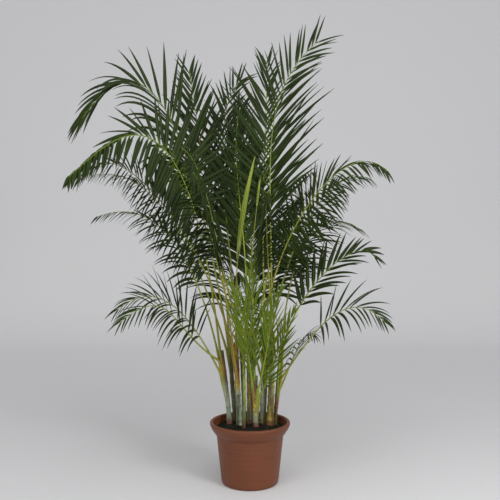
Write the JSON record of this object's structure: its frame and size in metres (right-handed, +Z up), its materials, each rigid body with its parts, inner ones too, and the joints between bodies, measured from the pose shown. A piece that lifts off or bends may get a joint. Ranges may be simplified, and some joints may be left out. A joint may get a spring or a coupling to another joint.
{
  "type": "potted palm",
  "caption": "Potted areca palm: a clump of ringed yellow-green canes with arching feather fronds, in a round terracotta-coloured nursery pot with a rolled rim",
  "frame": {"origin": "the middle of the pot's flat base, on the surface that it stands on; the pot's axis is the Z axis", "axes": "+Z up, through the middle of the pot; -Y is the front, the side that the picture shows; +X is the viewer's right"},
  "size_m": [1.2537, 1.0194, 1.7448],
  "materials": {
    "pot_plastic": "satin",
    "soil": "matte",
    "cane": "satin",
    "frond": "satin",
    "young_leaf": "satin",
    "spear_leaf": "satin"
  },
  "bodies": {
    "root": {"pot": "pot_plastic", "potting_soil": "soil", "cane_01": "cane", "cane_02": "cane", "cane_03": "cane", "cane_04": "cane", "cane_05": "cane", "cane_06": "cane", "cane_07": "cane", "cane_08": "cane", "cane_09": "cane", "cane_10": "cane", "cane_11": "cane", "cane_12": "cane", "frond_left_1": "frond", "frond_left_2": "frond", "frond_left_3": "frond", "frond_left_4": "frond", "frond_left_5": "frond", "frond_left_6": "frond", "frond_left_7": "frond", "frond_top_1": "frond", "frond_top_2": "frond", "frond_top_3": "frond", "frond_top_4": "frond", "frond_top_5": "frond", "frond_right_1": "frond", "frond_right_2": "frond", "frond_right_3": "frond", "frond_right_4": "frond", "frond_right_5": "frond", "frond_right_6": "frond", "frond_front_1": "frond", "frond_front_2": "frond", "frond_front_3": "frond", "frond_back_1": "frond", "frond_back_2": "frond", "frond_back_3": "frond", "frond_back_4": "frond", "frond_back_5": "frond", "young_leaf_1": "young_leaf", "young_leaf_2": "young_leaf", "young_leaf_3": "young_leaf", "young_leaf_4": "young_leaf", "spear_leaf_1": "spear_leaf", "spear_leaf_2": "spear_leaf"}
  },
  "joints": []
}
